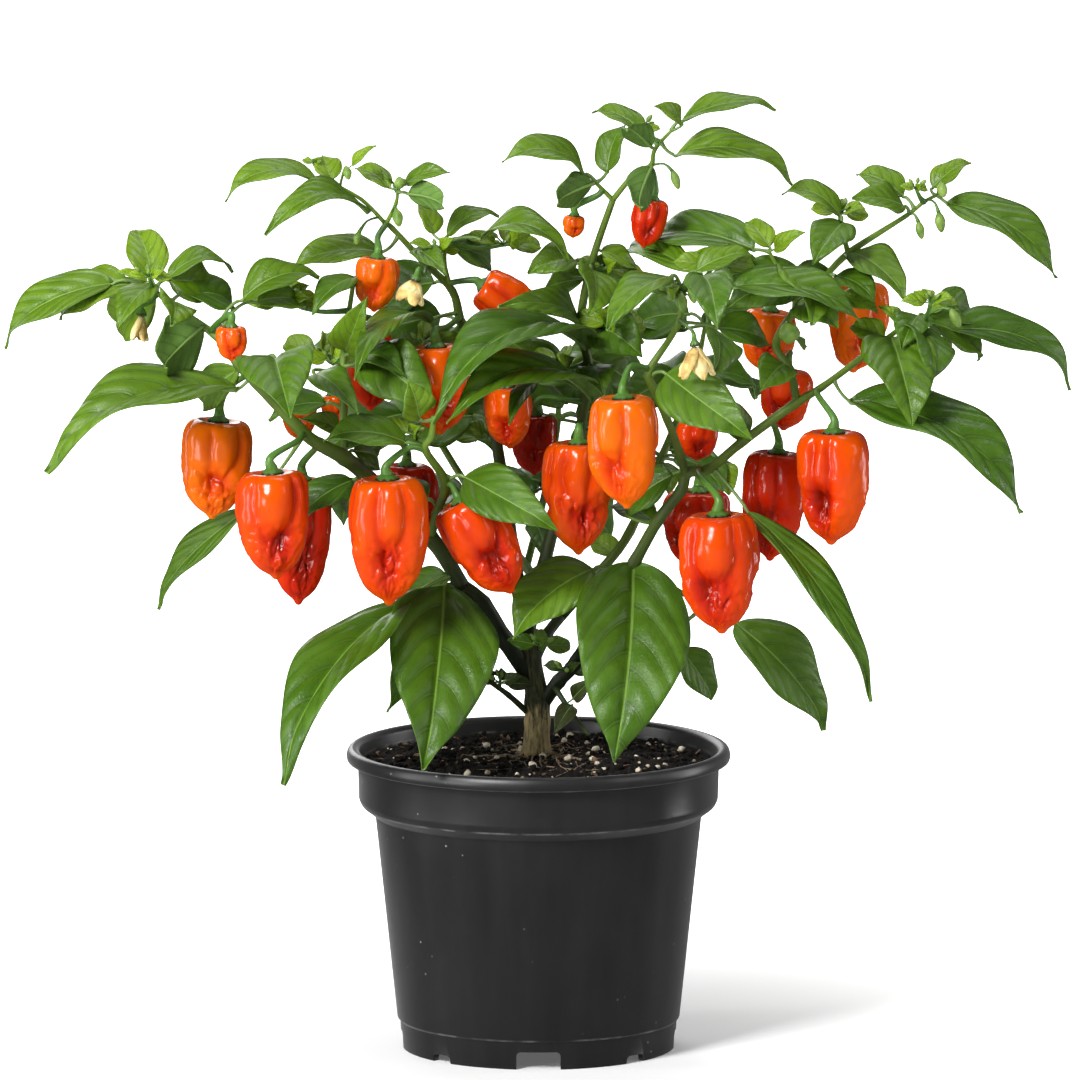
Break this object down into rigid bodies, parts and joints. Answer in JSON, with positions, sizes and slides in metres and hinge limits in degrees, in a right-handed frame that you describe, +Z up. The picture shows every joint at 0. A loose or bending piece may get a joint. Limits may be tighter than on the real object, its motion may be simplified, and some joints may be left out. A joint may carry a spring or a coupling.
{
  "type": "potted chilli pepper plant",
  "caption": "Bushy chilli pepper plant with ripe blocky hanging pods, pointed green leaves and a short woody trunk, growing in potting soil in a tapered black plastic nursery pot.",
  "frame": {"origin": "centre of the plant's box in plan, on the surface that the pot stands on", "axes": "+Z up, +X to the right seen from the front, +Y to the back"},
  "size_m": [0.539, 0.3066, 0.4846],
  "materials": {
    "pot_plastic": "black injection-moulded plastic, satin, lightly scuffed",
    "soil": "damp dark peat and bark mix with pale perlite grains",
    "stem": "tan woody bark at the foot, turning dark green above",
    "foliage": "waxy green leaf with a pale rib and side veins",
    "pod": "very glossy ripe skin, orange to deep red",
    "petal": "dry cream petals, tan at the tips"
  },
  "bodies": {
    "root": {"pot": "pot_plastic", "soil": "soil", "trunk": "stem", "stem_left": "foliage", "stem_upper_left": "foliage", "stem_top": "foliage", "stem_right": "foliage", "stem_mid_right": "foliage", "stem_upper_right": "foliage", "stem_back": "foliage", "pod_01": "pod", "pod_02": "pod", "pod_03": "pod", "pod_04": "pod", "pod_05": "pod", "pod_06": "pod", "pod_07": "pod", "pod_08": "pod", "pod_09": "pod", "pod_10": "pod", "pod_11": "pod", "pod_12": "pod", "pod_13": "pod", "pod_14": "pod", "pod_15": "pod", "pod_16": "pod", "pod_17": "pod", "pod_18": "pod", "pod_19": "pod", "pod_20": "pod", "pod_21": "pod", "pod_22": "pod", "pod_23": "pod", "pod_24": "pod", "pod_25": "pod", "pod_26": "pod", "pod_27": "pod", "withered_flower_01": "petal", "withered_flower_02": "petal", "withered_flower_03": "petal"}
  },
  "joints": []
}
